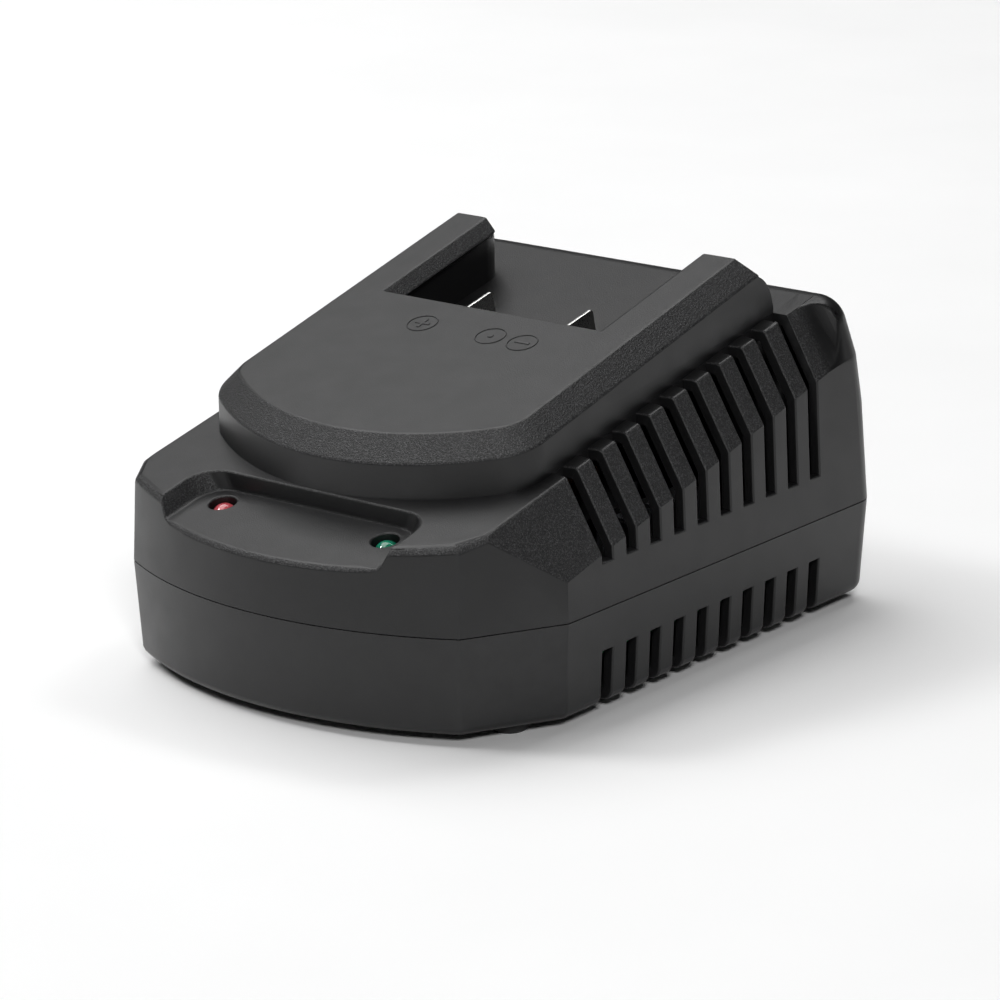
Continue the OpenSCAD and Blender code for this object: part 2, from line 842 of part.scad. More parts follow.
module foot_rear_right() in_row_frame() {
  foot(foot_rear_spot[0], foot_rear_spot[1]);
}

module transformer_place() {
  translate([0, transformer_y, board_top + transformer_lift]) children();
}

module transformer_core() in_row_frame() {
  color([0.22, 0.22, 0.23]) transformer_place() difference() {
    translate([-core_size[0] / 2, -core_size[1] / 2, -core_size[2] / 2]) cube(core_size);
    both_sides() translate([core_leg / 2, -core_window[1] / 2, -10])
      cube([core_window[0], core_window[1], 20]);
  }
}

module bobbin_section(x, z, r) {
  translate([-x + r, -z]) square([2 * x - 2 * r, 2 * z]);
  translate([-x, -z + r]) square([2 * x, 2 * z - 2 * r]);
  for (a = [-1, 1]) for (b = [-1, 1]) translate([a * (x - r), b * (z - r)]) circle(r = r);
}

module along_y(length) {
  translate([0, length / 2, 0]) rotate([90, 0, 0]) linear_extrude(length) children();
}

module transformer_bobbin() in_row_frame() {
  x = core_leg / 2 + 0.2;
  z = core_size[2] / 2 + 0.2;
  flange = core_leg / 2 + core_window[0] - 0.3;
  length = core_window[1] - 0.4;
  color([0.12, 0.12, 0.13]) transformer_place() difference() {
    union() {
      along_y(length) bobbin_section(x + 1, z + 1, 0.8);
      for (a = [-1, 1]) translate([0, a * (length / 2 - 0.5), 0])
        along_y(1) bobbin_section(flange, 10.6, 1.5);
      for (a = [-1, 1]) translate([-flange, a * (length / 2 - 1.5) - 1.5, -transformer_lift])
        cube([2 * flange, 3, 2.6]);
    }
    along_y(length + 2) square([2 * x, 2 * z], center = true);
  }
}

module transformer_winding() in_row_frame() {
  x = core_leg / 2 + 1.25;
  z = core_size[2] / 2 + 1.25;
  flange = core_leg / 2 + core_window[0] - 0.9;
  color(copper) transformer_place() difference() {
    along_y(core_window[1] - 2.6) bobbin_section(flange, 9.8, 2.4);
    along_y(core_window[1]) bobbin_section(x, z, 0.8);
  }
}

module can_capacitor(x, y, d, h) {
  translate([x, y, board_top]) {
    difference() {
      cylinder(h = h, d = d);
      translate([0, 0, h - 0.5]) cylinder(h = 1, d = d - 1.6);
    }
    for (a = [0, 60, 120]) rotate([0, 0, a]) translate([-d * 0.28, -0.15, h - 0.6])
      cube([d * 0.56, 0.3, 0.4]);
  }
}

module bulk_capacitor() in_row_frame() {
  color([0.12, 0.14, 0.2]) can_capacitor(-29, 56, 16, 26);
}

module output_capacitor_left() in_row_frame() {
  color([0.1, 0.12, 0.16]) can_capacitor(16, 52, 10, 17);
}

module output_capacitor_right() in_row_frame() {
  color([0.1, 0.12, 0.16]) can_capacitor(29, 54, 10, 17);
}

module heat_sink(x, y) {
  color([0.7, 0.71, 0.73]) translate([x, y, board_top]) {
    cube([2.4, 30, 24]);
    for (i = [0:5]) translate([2, i * 5.6, 0]) cube([5, 2, 24]);
  }
}

module primary_heat_sink() in_row_frame() {
  mirror([1, 0, 0]) heat_sink(board_x - 8, 72);
}

module secondary_heat_sink() in_row_frame() {
  heat_sink(board_x - 8, 66);
}

module power_package(x, y) {
  // Body with its metal tab and three legs, its back against x
  color(black) translate([x - 4.4, y, board_top + 4]) cube([3.1, 10, 9]);
  color(metal) difference() {
    translate([x - 1.3, y, board_top + 4]) cube([1.3, 10, 15.5]);
    translate([x - 3, y + 5, board_top + 16.5]) rotate([0, 90, 0]) cylinder(h = 6, d = 3.4);
  }
  color(metal) for (i = [-1:1])
    translate([x - 2.9, y + 4.6 + i * 2.54, board_top]) cube([0.6, 0.8, 4.2]);
}

module switch_transistor() in_row_frame() {
  mirror([1, 0, 0]) power_package(board_x - 8, 82);
}

module output_diode() in_row_frame() {
  power_package(board_x - 8, 76);
}

module along_x(x, y, z, length, d) {
  translate([x, y, z]) rotate([0, 90, 0]) cylinder(h = length, d = d);
}

module fuse() in_row_frame() {
  z = board_top + 4.2;
  color([0.8, 0.85, 0.85]) along_x(-6, 115, z, 12, 4.8);
  color(metal) {
    along_x(-10, 115, z, 4.5, 5.2);
    along_x(5.5, 115, z, 4.5, 5.2);
  }
}

module fuse_clip(x) {
  z = board_top + 4.2;
  color(metal) difference() {
    translate([x, 111.6, board_top]) cube([4, 6.8, 6.4]);
    along_x(x - 1, 115, z, 6, 5.3);
    translate([x - 1, 112.9, z]) cube([6, 4.2, 6]);
  }
}

module fuse_clip_left() in_row_frame() {
  fuse_clip(-9.8);
}

module fuse_clip_right() in_row_frame() {
  fuse_clip(5.8);
}

module line_choke() in_row_frame() {
  translate([-24, 112, board_top]) {
    color(black) cylinder(h = 1.5, d = 13);
    color(copper) translate([0, 0, 4.8]) rotate_extrude() translate([4.2, 0]) circle(d = 5);
    color(copper) translate([0, 0, 1]) cylinder(h = 3.8, r = 4.2);
  }
}

module mains_capacitor() in_row_frame() {
  color([0.75, 0.62, 0.2]) translate([20, 107, board_top]) cube([14, 8, 12]);
}

module bridge_rectifier() in_row_frame() {
  color(black) translate([-28, 92, board_top + 0.5]) cube([8, 9, 3.2]);
  color(metal) for (x = [-29.2, -20]) for (y = [93.5, 98.3])
    translate([x, y, board_top]) cube([1.2, 1.2, 2]);
}

module optocoupler() in_row_frame() {
  color(black) translate([19.7, 96.8, board_top + 0.4]) cube([4.6, 6.4, 3.4]);
  color(metal) for (x = [20.4, 22.9]) for (y = [95.9, 103.2])
    translate([x, y, board_top]) cube([0.7, 0.9, 2]);
}

module safety_capacitor() in_row_frame() {
  color([0.15, 0.35, 0.6]) translate([21, 86, board_top + 5.6]) rotate([0, 90, 0])
    cylinder(h = 3.4, d = 9.4);
  color(metal) for (y = [83.5, 88.5])
    translate([22.7, y, board_top]) cylinder(h = 3, d = 0.7);
}

module control_chip() in_row_frame() {
  color(black) translate([-12.8, 52, board_top + 0.4]) cube([9.6, 6.4, 3.4]);
  color(metal) for (i = [0:3]) for (y = [51.1, 58.4])
    translate([-12.3 + i * 2.54, y, board_top]) cube([0.9, 0.9, 2]);
}

module output_inductor() in_row_frame() {
  translate([0, 68, board_top]) {
    color([0.22, 0.22, 0.23]) cylinder(h = 1.6, d = 9.4);
    color(copper) translate([0, 0, 1.6]) cylinder(h = 5.4, d = 7.6);
    color([0.22, 0.22, 0.23]) translate([0, 0, 7]) cylinder(h = 1.6, d = 9.4);
  }
}

module lamp_header() in_row_frame() {
  color([0.88, 0.87, 0.82]) difference() {
    union() {
      translate([-5.5, 36.5, board_top]) cube([11, 5, 4]);
      translate([-4.6, 37.2, board_top + 4]) cube([9.2, 3.6, 3]);
    }
    for (i = [0:3]) translate([-3.8 + i * 2.2, 36, board_top + 1.4]) cube([1, 1.2, 2.6]);
  }
}

// Four round wires from the header up to the lamp board
module lamp_cable() in_row_frame() {
  y0 = 39;
  z0 = board_top + 7.4;
  v = 17.6;
  w = -lamp_board_w - board_thickness - 0.35;
  y1 = v * cos(deck_slope) - w * sin(deck_slope);
  z1 = deck_front_height + v * sin(deck_slope) + w * cos(deck_slope);
  length = norm([y1 - y0, z1 - z0]);
  angle = atan2(y0 - y1, z1 - z0);
  color([0.6, 0.12, 0.1]) for (i = [0:3])
    translate([-3.3 + i * 2.2, y0, z0]) rotate([angle, 0, 0]) cylinder(h = length, d = 1.2);
}

module lamp_board() in_row_frame() {
  color(board_green) on_deck() difference() {
    translate([-lamp_board_x, 9.5, -lamp_board_w - board_thickness])
      cube([2 * lamp_board_x, 10.5, board_thickness]);
    both_sides() {
      translate([lamp_post_x, lamp_axis, -lamp_board_w - 3]) cylinder(h = 6, d = 2.3);
      for (y = [-1.27, 1.27]) translate([lamp_x, lamp_axis + y, -lamp_board_w - 3])
        cylinder(h = 6, d = 0.9);
    }
  }
}

module lamp(x) {
  r = lamp_diameter / 2;
  dome_radius = (r * r + lamp_dome * lamp_dome) / (2 * lamp_dome);
  on_deck() translate([x, lamp_axis, -lamp_board_w]) {
    cylinder(h = lamp_length - lamp_dome, r = r);
    translate([0, 0, lamp_length - lamp_dome]) rotate_extrude() intersection() {
      translate([0, lamp_dome - dome_radius]) circle(r = dome_radius, $fn = 96);
      square([r, lamp_dome]);
    }
    cylinder(h = 1, r = r + 0.35);
    for (y = [-1.27, 1.27]) translate([0, y, -board_thickness - 1.2]) cylinder(h = 3, d = 0.6);
  }
}

module lamp_red() in_row_frame() {
  color([0.75, 0.08, 0.08]) lamp(-lamp_x);
}

module lamp_green() in_row_frame() {
  color([0.02, 0.5, 0.2]) lamp(lamp_x);
}

module lamp_screw(x) {
  on_deck() translate([x, lamp_axis, -lamp_board_w - board_thickness])
    plain_screw(lamp_screw_diameter, 6, 4, 1.4);
}

module lamp_screw_left() in_row_frame() {
  lamp_screw(-lamp_post_x);
}

module lamp_screw_right() in_row_frame() {
  lamp_screw(lamp_post_x);
}

// Straight insulated lead from the main board up to a blade tail
module lead(x) {
  v = blade_front_v + 3;
  z = deck_front_height + v * sin(deck_slope) - 11 * cos(deck_slope);
  y = v * cos(deck_slope) + 11 * sin(deck_slope);
  translate([x, y, board_top]) cylinder(h = z - board_top - 0.4, d = 2.2);
}

module lead_plus() in_row_frame() {
  color([0.7, 0.1, 0.1]) lead(plus_blade_x);
}

module lead_minus() in_row_frame() {
  color([0.1, 0.1, 0.1]) lead(minus_blade_x);
}

module lead_sense() in_row_frame() {
  color([0.85, 0.75, 0.2]) lead(sense_blade_x);
}

module inlet_socket() in_row_frame() {
  mid = board_top + inlet_height / 2;
  color(black) difference() {
    translate([-inlet_width / 2, inlet_front, board_top])
      cube([inlet_width, inlet_rear - inlet_front, inlet_height]);
    translate([0, inlet_rear + 1, mid]) rotate([90, 0, 0]) linear_extrude(inlet_depth + 1) {
      both_sides() translate([pin_spacing / 2, 0]) circle(d = 7.6);
      translate([-pin_spacing / 2, -2.9]) square([pin_spacing, 5.8]);
    }
    both_sides() translate([pin_spacing / 2, inlet_rear - inlet_depth + 1, mid])
      rotate([90, 0, 0]) cylinder(h = 30, d = pin_diameter + 0.7);
  }
}

module inlet_pin(x) {
  mid = board_top + inlet_height / 2;
  color(metal) translate([x, inlet_rear - 1.5, mid]) rotate([90, 0, 0]) {
    cylinder(h = 0.5, r1 = pin_diameter / 2 - 0.4, r2 = pin_diameter / 2);
    translate([0, 0, 0.5]) cylinder(h = inlet_depth - 2, d = pin_diameter);
    translate([0, 0, inlet_depth - 1.5])
      cylinder(h = inlet_rear - inlet_front - inlet_depth - 1, d = pin_diameter + 0.6);
  }
}

module inlet_pin_left() in_row_frame() {
  inlet_pin(-pin_spacing / 2);
}

module inlet_pin_right() in_row_frame() {
  inlet_pin(pin_spacing / 2);
}

lower_housing();
upper_housing();
terminal_holder();
blade_plus();
blade_minus();
blade_sense();
holder_screw_left();
holder_screw_right();
main_board();
board_screw_front_left();
board_screw_front_right();
board_screw_rear_left();
board_screw_rear_right();
housing_screw_front_left();
housing_screw_front_right();
housing_screw_rear_left();
housing_screw_rear_right();
foot_front_left();
foot_front_right();
foot_rear_left();
foot_rear_right();
transformer_core();
transformer_bobbin();
transformer_winding();
bulk_capacitor();
output_capacitor_left();
output_capacitor_right();
primary_heat_sink();
secondary_heat_sink();
switch_transistor();
output_diode();
fuse();
fuse_clip_left();
fuse_clip_right();
line_choke();
mains_capacitor();
bridge_rectifier();
optocoupler();
safety_capacitor();
control_chip();
output_inductor();
lamp_header();
lamp_cable();
lamp_board();
lamp_red();
lamp_green();
lamp_screw_left();
lamp_screw_right();
lead_plus();
lead_minus();
lead_sense();
inlet_socket();
inlet_pin_left();
inlet_pin_right();
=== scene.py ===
"""Studio scene of a desktop charger for slide-on tool batteries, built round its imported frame."""
import json
import math

import bmesh
import bpy
from mathutils import Matrix, Vector


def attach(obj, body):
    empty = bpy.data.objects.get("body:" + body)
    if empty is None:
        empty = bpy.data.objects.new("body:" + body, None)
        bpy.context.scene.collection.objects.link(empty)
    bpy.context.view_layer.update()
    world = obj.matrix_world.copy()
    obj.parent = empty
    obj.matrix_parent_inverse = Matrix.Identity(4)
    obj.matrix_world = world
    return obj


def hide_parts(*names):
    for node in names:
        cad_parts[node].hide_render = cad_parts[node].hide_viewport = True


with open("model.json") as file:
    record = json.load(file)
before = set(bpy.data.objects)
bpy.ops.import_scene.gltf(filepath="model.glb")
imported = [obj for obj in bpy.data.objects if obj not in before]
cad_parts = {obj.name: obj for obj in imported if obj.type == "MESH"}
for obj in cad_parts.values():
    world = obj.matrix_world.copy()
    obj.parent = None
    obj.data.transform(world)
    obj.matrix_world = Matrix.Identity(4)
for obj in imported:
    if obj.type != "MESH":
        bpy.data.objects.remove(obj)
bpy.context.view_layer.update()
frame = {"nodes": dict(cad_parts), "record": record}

MM = 0.001
# Half the depth of the housing in mm: the source measures Y from the front bow
FRONT = 71.0

# Camera, fitted to the photograph: metres, angles, lens and sensor width in mm
CAMERA_TARGET = Vector((-0.0052, 0.0145, 0.0248))
CAMERA_DISTANCE = 0.9
CAMERA_AZIMUTH = math.radians(38.87)
CAMERA_ELEVATION = math.radians(16.78)
CAMERA_ROLL = math.radians(-0.80)
CAMERA_LENS = 149.9
CAMERA_SENSOR = 36

# Planes of the deck and of the platform top: height at the front bow in mm, rise per mm and slope
DECK_HEIGHT = 39.0
DECK_RISE = math.tan(math.radians(12.84))
TOP_HEIGHT = 49.6
TOP_SLOPE = math.radians(14.74)
# Radius of the front bow and height of the seam in mm
BOW_RADIUS = 89.4
SEAM_HEIGHT = 23

# Room brightness at the horizon and overhead, and where it is reached, from 0 level to 1 straight up
ROOM_LOW = 0.1
ROOM_HIGH = 0.95
ROOM_TURN = 0.8
# Half the width of the floor in metres
FLOOR_HALF = 3.0
# Softbox under the ceiling: centre and size in metres, power
CEILING_PLACE = Vector((-1.1, 0.3, 1.85))
CEILING_SIZE = (1.8, 2.4)
CEILING_POWER = 41
# Small softboxes that light the rounded edges: direction, size in metres and power
EDGE_LIGHT_DISTANCE = 1.6
EDGE_LIGHT_TARGET = (0, 0, 0.04)
EDGE_LIGHTS = (
    ("rear_box", (0.02, 0.53, 0.85), (0.4, 0.26), 3),
    ("left_box", (-0.62, -0.36, 0.70), (0.3, 0.3), 6),
    ("right_box", (0.56, -0.60, 0.57), (0.32, 0.3), 10),
)

# Starts of the names of the small pieces in sight whose edges are broken
SMALL_PIECES = (
    "blade", "foot", "housing_screw", "inlet", "holder", "terminal", "lamp_red", "lamp_green",
)

# Marks on the platform in mm: rise over the platform and depth below it
MARK_RISE = 0.18
MARK_DEPTH = 0.036
# Ring radius and width, half length and width of the bars, radius of the dot, width of a sloping side
MARK_RING = 3.3
MARK_WIDTH = 0.34
MARK_ARM = 1.9
MARK_BAR = 0.8
MARK_DOT = 0.7
MARK_SIDE = 0.12
# Least cosine that a corner's sideways direction is divided by
MITRE_LIMIT = 0.5
RING_CORNERS = 56
DOT_CORNERS = 20
# Section of the ring: steps across in half widths and heights in mm
RING_SECTION = (
    (-1, -MARK_DEPTH), (-0.8, 0.4 * MARK_RISE), (-0.35, MARK_RISE),
    (0.35, MARK_RISE), (0.8, 0.4 * MARK_RISE), (1, -MARK_DEPTH),
)
# Centres of the marks: X, and Y from the front bow in mm
PLUS_PLACE = (-10.6, 67.0)
DOT_PLACE = (7.8, 67.0)
MINUS_PLACE = (16.4, 66.7)

# Rounding of edges in mm: shells, front lip of the lamp recess, seam and small pieces
EDGE_ROUND = 0.45
LIP_ROUND = 1.2
SEAM_ROUND = 0.06
SMALL_ROUND = 0.18
SHELL_SEGMENTS = 3
SMALL_SEGMENTS = 2
# Front lip of the recess in mm: reach from the middle, heights against the deck, distance inside the bow
LIP_REACH = 27
LIP_LOW = -4.6
LIP_HIGH = -2.5
LIP_INSIDE = 2.6
# Half the height of the band in mm that counts as the seam
SEAM_BAND = 1.2
# Longest edge that counts as crowded in mm, and the least bend between it and a tiny neighbour
CROWDED_LENGTH = 2.2
BEND_LIMIT = math.radians(40)
# Ends of the recess rim and of the last slots, with no room for a rounding: place and reach in mm
TIGHT_SPOTS = ((30.4, 6.9, 40.1, 1.6), (44.0, 120.6, 67.0, 2.6), (45.4, 117.7, 66.2, 1.6))
# Inner slot ends in mm: distance from the middle, its tolerance and the greatest height over the deck
SLOT_END = 42.2
SLOT_BAND = 0.3
SLOT_TOP = 0.5
# Least angle of a sharp edge, and the cosine of the greatest bend that shades smooth
SHARP_ANGLE = math.radians(32)
SMOOTH_LIMIT = math.cos(SHARP_ANGLE)
# Mesh repair: weld distances in mm for shells and small pieces, and the bend of edges that are dissolved
SHELL_WELD = 0.004
SMALL_WELD = 0.002
FLAT_ANGLE = math.radians(1.0)
# How strongly large faces lead the corner normals
AREA_POWER = 1.5


# ---------------------------------------------------------------- shaders

class Surface:
    """A procedural material with one principled shader."""

    def __init__(self, name):
        self.material = bpy.data.materials.new(name)
        self.material.use_nodes = True
        self.nodes = self.material.node_tree.nodes
        self.links = self.material.node_tree.links
        self.shader = self.nodes["Principled BSDF"]
        self.place = self.add("ShaderNodeTexCoord").outputs["Object"]

    def add(self, kind, **inputs):
        node = self.nodes.new(kind)
        for key, value in inputs.items():
            self.put(node, key, value)
        return node

    def put(self, node, key, value):
        socket = node.inputs[key.replace("_", " ")] if isinstance(key, str) else node.inputs[key]
        if isinstance(value, bpy.types.NodeSocket):
            self.links.new(value, socket)
        else:
            socket.default_value = value

    def set(self, **inputs):
        for key, value in inputs.items():
            self.put(self.shader, key, value)

    def math(self, operation, a, b):
        node = self.add("ShaderNodeMath")
        node.operation = operation
        self.put(node, 0, a)
        self.put(node, 1, b)
        return node.outputs[0]

    def span(self, value, low, high, to_low=0.0, to_high=1.0, smooth=False):
        node = self.add("ShaderNodeMapRange")
        if smooth:
            node.interpolation_type = "SMOOTHSTEP"
        for index, item in enumerate((value, low, high, to_low, to_high)):
            self.put(node, index, item)
        return node.outputs[0]

    def noise(self, scale, detail=2.0, roughness=0.5, place=None):
        node = self.add("ShaderNodeTexNoise", Scale=scale, Detail=detail, Roughness=roughness)
        self.links.new(place or self.place, node.inputs["Vector"])
        return node.outputs["Fac"]

    def cells(self, scale):
        node = self.add("ShaderNodeTexVoronoi", Scale=scale)
        self.links.new(self.place, node.inputs["Vector"])
        return node.outputs["Distance"]

    def stretched(self, scale):
        node = self.add("ShaderNodeMapping")
        self.links.new(self.place, node.inputs["Vector"])
        node.inputs["Scale"].default_value = scale
        return node.outputs["Vector"]

    def bands(self, axis, scale, distortion):
        node = self.add("ShaderNodeTexWave", Scale=scale, Distortion=distortion)
        node.bands_direction = axis
        self.links.new(self.place, node.inputs["Vector"])
        return node.outputs["Fac"]

    def mix(self, amount, a, b):
        node = self.add("ShaderNodeMix")
        node.data_type = "RGBA"
        self.put(node, 0, amount)
        self.put(node, 6, a if isinstance(a, bpy.types.NodeSocket) else (*a, 1))
        self.put(node, 7, b if isinstance(b, bpy.types.NodeSocket) else (*b, 1))
        return node.outputs[2]

    def bump(self, height, distance):
        node = self.add("ShaderNodeBump", Strength=1.0, Distance=distance, Height=height)
        return node.outputs["Normal"]

    def split(self, vector, axis):
        node = self.add("ShaderNodeSeparateXYZ")
        self.links.new(vector, node.inputs[0])
        return node.outputs[axis]

    def normal_axis(self, axis):
        return self.split(self.add("ShaderNodeNewGeometry").outputs["Normal"], axis)

    # Convex edges, where a lighter colour stands for rubbed wear and partly for a painted highlight
    def edge_wear_and_highlight(self, low=0.53):
        return self.span(self.add("ShaderNodeNewGeometry").outputs["Pointiness"], low, 0.6)


def shade(colour, factor):
    return tuple(channel * factor for channel in colour)


def moulded(name, colour, rough, grain=1500, depth=0.03, wear_and_highlight=0.25, coat=0.0):
    """Moulded plastic, rubber or resin with a fine grain, faint flow marks and lighter edges that are partly
    rubbed wear and partly a painted highlight.
    """
    s = Surface(name)
    fine = s.noise(grain, 3)
    flow = s.noise(45, 4)
    base = s.mix(s.span(flow, 0.3, 0.7), shade(colour, 0.82), shade(colour, 1.2))
    # Lighter convex edges: rubbed wear together with a painted highlight along them
    rubbed_and_highlit = s.math("MULTIPLY", s.edge_wear_and_highlight(), s.span(s.noise(260), 0.35, 0.6, 0.3, 1))
    base = s.mix(s.math("MULTIPLY", rubbed_and_highlit, wear_and_highlight), base, shade(colour, 2.2))
    s.set(Base_Color=base, Roughness=s.span(s.noise(120, 3), 0.3, 0.7, rough - 0.07, rough + 0.08))
    s.set(Normal=s.bump(fine, depth * MM))
    if coat:
        s.set(Coat_Weight=coat, Coat_Roughness=0.08)
    return s.material


def metal(name, colour, rough, direction=(60, 2400, 2400), depth=0.006):
    """Drawn or plated metal with fine lines and dull patches."""
    s = Surface(name)
    lines = s.noise(1.0, 3, place=s.stretched(direction))
    dull = s.noise(180, 4)
    base = s.mix(s.span(dull, 0.35, 0.75), colour, shade(colour, 0.72))
    s.set(Base_Color=base, Metallic=1.0)
    s.set(Roughness=s.span(s.math("ADD", lines, dull), 0.7, 1.3, rough - 0.06, rough + 0.14))
    s.set(Normal=s.bump(lines, depth * MM))
    return s.material


def housing_plastic():
    """Black housing plastic: satin walls, finely eroded tops and coarse eroded flanks and bevels."""
    s = Surface("housing_plastic")
    # Slanting faces in front of the rounded rear edge, and faces that look almost straight up
    up = s.normal_axis("Z")
    slanting = s.math("MULTIPLY", s.span(up, 0.2, 0.3, smooth=True), s.span(up, 0.86, 0.8, smooth=True))
    before_rear = s.span(s.split(s.place, "Y"), 0.056, 0.052, smooth=True)
    slanting = s.math("MULTIPLY", slanting, before_rear)
    top = s.span(up, 0.86, 0.92, smooth=True)
    pits = s.cells(3400)
    grains = s.noise(2900, 2, 0.7)
    fine = s.noise(4200, 1)
    # Colour: faint flow marks, light grains on the slanting faces and specks on the tops that are partly the
    # eroded texture and partly painted glints, and lighter edges that are partly rubbed wear and partly a
    # painted highlight
    flow = s.noise(28, 4)
    colour = s.mix(s.span(flow, 0.3, 0.7), (0.0075, 0.0075, 0.0079), (0.0095, 0.0095, 0.01))
    # Light grains and specks: the eroded texture with painted glints
    grain_and_glints = s.math("MULTIPLY", s.span(grains, 0.48, 0.66), slanting)
    colour = s.mix(grain_and_glints, colour, (0.058, 0.058, 0.06))
    specks_and_glints = s.math("MULTIPLY", s.span(fine, 0.62, 0.75), s.math("MULTIPLY", top, 0.25))
    colour = s.mix(specks_and_glints, colour, (0.06, 0.06, 0.062))
    # Lighter convex edges: rubbed wear with a painted highlight
    rubbed_and_highlit = s.math("MULTIPLY", s.edge_wear_and_highlight(0.52), s.span(s.noise(300), 0.35, 0.6, 0.35, 1))
    colour = s.mix(s.math("MULTIPLY", rubbed_and_highlit, 0.16), colour, (0.1, 0.1, 0.103))
    # Roughness: dull patches, duller where it is eroded
    rough = s.span(s.noise(140, 3), 0.3, 0.7, 0.35, 0.41)
    rough = s.math("ADD", rough, s.math("MULTIPLY", slanting, 0.1))
    rough = s.math("ADD", rough, s.math("MULTIPLY", top, 0.03))
    # Relief: grains and pits on the slanting faces, fine grain on the tops
    height = s.math("MULTIPLY", grains, s.math("ADD", slanting, 0.12))
    height = s.math("ADD", height, s.math("MULTIPLY", pits, s.math("MULTIPLY", slanting, 0.5)))
    height = s.math("ADD", height, s.math("MULTIPLY", fine, s.math("MULTIPLY", top, 0.3)))
    s.set(Base_Color=colour, Roughness=rough, Specular_IOR_Level=0.45)
    s.set(Normal=s.bump(height, 0.16 * MM))
    return s.material


def lamp_lens(name, deep, clear):
    """Glossy tinted lens with faint streaks from moulding."""
    s = Surface(name)
    streaks = s.noise(420, 3)
    colour = s.mix(s.span(streaks, 0.3, 0.7), deep, clear)
    s.set(Base_Color=colour, Roughness=s.span(s.noise(900), 0.3, 0.7, 0.05, 0.12))
    s.set(Coat_Weight=0.5, Coat_Roughness=0.03, Subsurface_Weight=0.25, Subsurface_Scale=0.4 * MM)
    s.set(Normal=s.bump(streaks, 0.008 * MM))
    return s.material


def circuit_board():
    """Green solder mask over a raised pattern of tracks."""
    s = Surface("circuit_board")
    bricks = s.add("ShaderNodeTexBrick", Scale=95.0, Mortar_Size=0.06, Mortar_Smooth=0.2)
    s.links.new(s.place, bricks.inputs["Vector"])
    tracks = bricks.outputs["Fac"]
    colour = s.mix(tracks, (0.012, 0.09, 0.04), (0.03, 0.17, 0.07))
    colour = s.mix(s.span(s.noise(220, 3), 0.45, 0.75, 0, 0.4), colour, (0.008, 0.06, 0.03))
    s.set(Base_Color=colour, Roughness=s.span(s.noise(400), 0.3, 0.7, 0.28, 0.42))
    s.set(Normal=s.bump(tracks, 0.035 * MM))
    return s.material


def copper_turns():
    """Enamelled copper wire as fine bands."""
    s = Surface("winding_copper")
    turns = s.bands("Y", 700.0, 0.4)
    colour = s.mix(turns, (0.16, 0.05, 0.02), (0.6, 0.26, 0.1))
    s.set(Base_Color=colour, Metallic=0.8, Roughness=s.span(s.noise(300), 0.3, 0.7, 0.22, 0.36))
    s.set(Normal=s.bump(turns, 0.12 * MM))
    return s.material


def capacitor_sleeve():
    """Dark shrunk sleeve with light patches and a bare metal top."""
    s = Surface("capacitor_sleeve")
    patches = s.span(s.noise(20, 0), 0.56, 0.58)
    colour = s.mix(patches, (0.012, 0.016, 0.04), (0.32, 0.34, 0.36))
    wrinkles = s.noise(1.0, 2, place=s.stretched((300, 300, 60)))
    top = s.span(s.normal_axis("Z"), 0.8, 0.9)
    s.set(Base_Color=s.mix(top, colour, (0.55, 0.55, 0.54)), Metallic=top)
    s.set(Roughness=s.span(s.noise(500), 0.3, 0.7, 0.2, 0.34), Normal=s.bump(wrinkles, 0.05 * MM))
    return s.material


def floor_paper():
    """Pale paper with faint changes of tone."""
    s = Surface("floor_paper")
    tone = s.span(s.noise(9, 3), 0.3, 0.7)
    s.set(Base_Color=s.mix(tone, (0.9, 0.9, 0.9), (0.93, 0.93, 0.93)), Roughness=0.9)
    s.set(Specular_IOR_Level=0.1, Normal=s.bump(s.noise(700), 0.02 * MM))
    return s.material


MATERIALS = {
    "housing_plastic": housing_plastic(),
    "holder_plastic": moulded("holder_plastic", (0.0085, 0.0085, 0.009), 0.42),
    "contact_metal": metal("contact_metal", (0.75, 0.75, 0.73), 0.26, depth=0.0006),
    "screw_steel": metal("screw_steel", (0.5, 0.5, 0.49), 0.34),
    "circuit_board": circuit_board(),
    "foot_rubber": moulded("foot_rubber", (0.015, 0.015, 0.015), 0.72, grain=900, depth=0.06),
    "ferrite": moulded("ferrite", (0.05, 0.05, 0.052), 0.55, grain=1200, depth=0.05),
    "bobbin_plastic": moulded("bobbin_plastic", (0.02, 0.02, 0.022), 0.45),
    "winding_copper": copper_turns(),
    "capacitor_sleeve": capacitor_sleeve(),
    "heat_sink_aluminium": metal("heat_sink_aluminium", (0.72, 0.73, 0.75), 0.36, (2400, 2400, 40)),
    "package_resin": moulded("package_resin", (0.014, 0.014, 0.014), 0.52, grain=2000),
    "fuse_glass": moulded("fuse_glass", (0.5, 0.54, 0.52), 0.14, depth=0.005, coat=0.8),
    "clip_metal": metal("clip_metal", (0.62, 0.62, 0.6), 0.3),
    "film_capacitor_case": moulded("film_capacitor_case", (0.42, 0.32, 0.05), 0.4),
    "ceramic_capacitor_coat": moulded("ceramic_capacitor_coat", (0.03, 0.1, 0.3), 0.3, coat=0.4),
    "header_plastic": moulded("header_plastic", (0.62, 0.6, 0.52), 0.42),
    "cable_red": moulded("cable_red", (0.32, 0.015, 0.015), 0.4),
    "cable_black": moulded("cable_black", (0.015, 0.015, 0.015), 0.4),
    "cable_yellow": moulded("cable_yellow", (0.5, 0.38, 0.03), 0.4),
    "lamp_red": lamp_lens("lamp_red", (0.34, 0.03, 0.05), (0.62, 0.12, 0.14)),
    "lamp_green": lamp_lens("lamp_green", (0.003, 0.13, 0.075), (0.015, 0.26, 0.15)),
}


# ---------------------------------------------------------------- shells with rounded edges

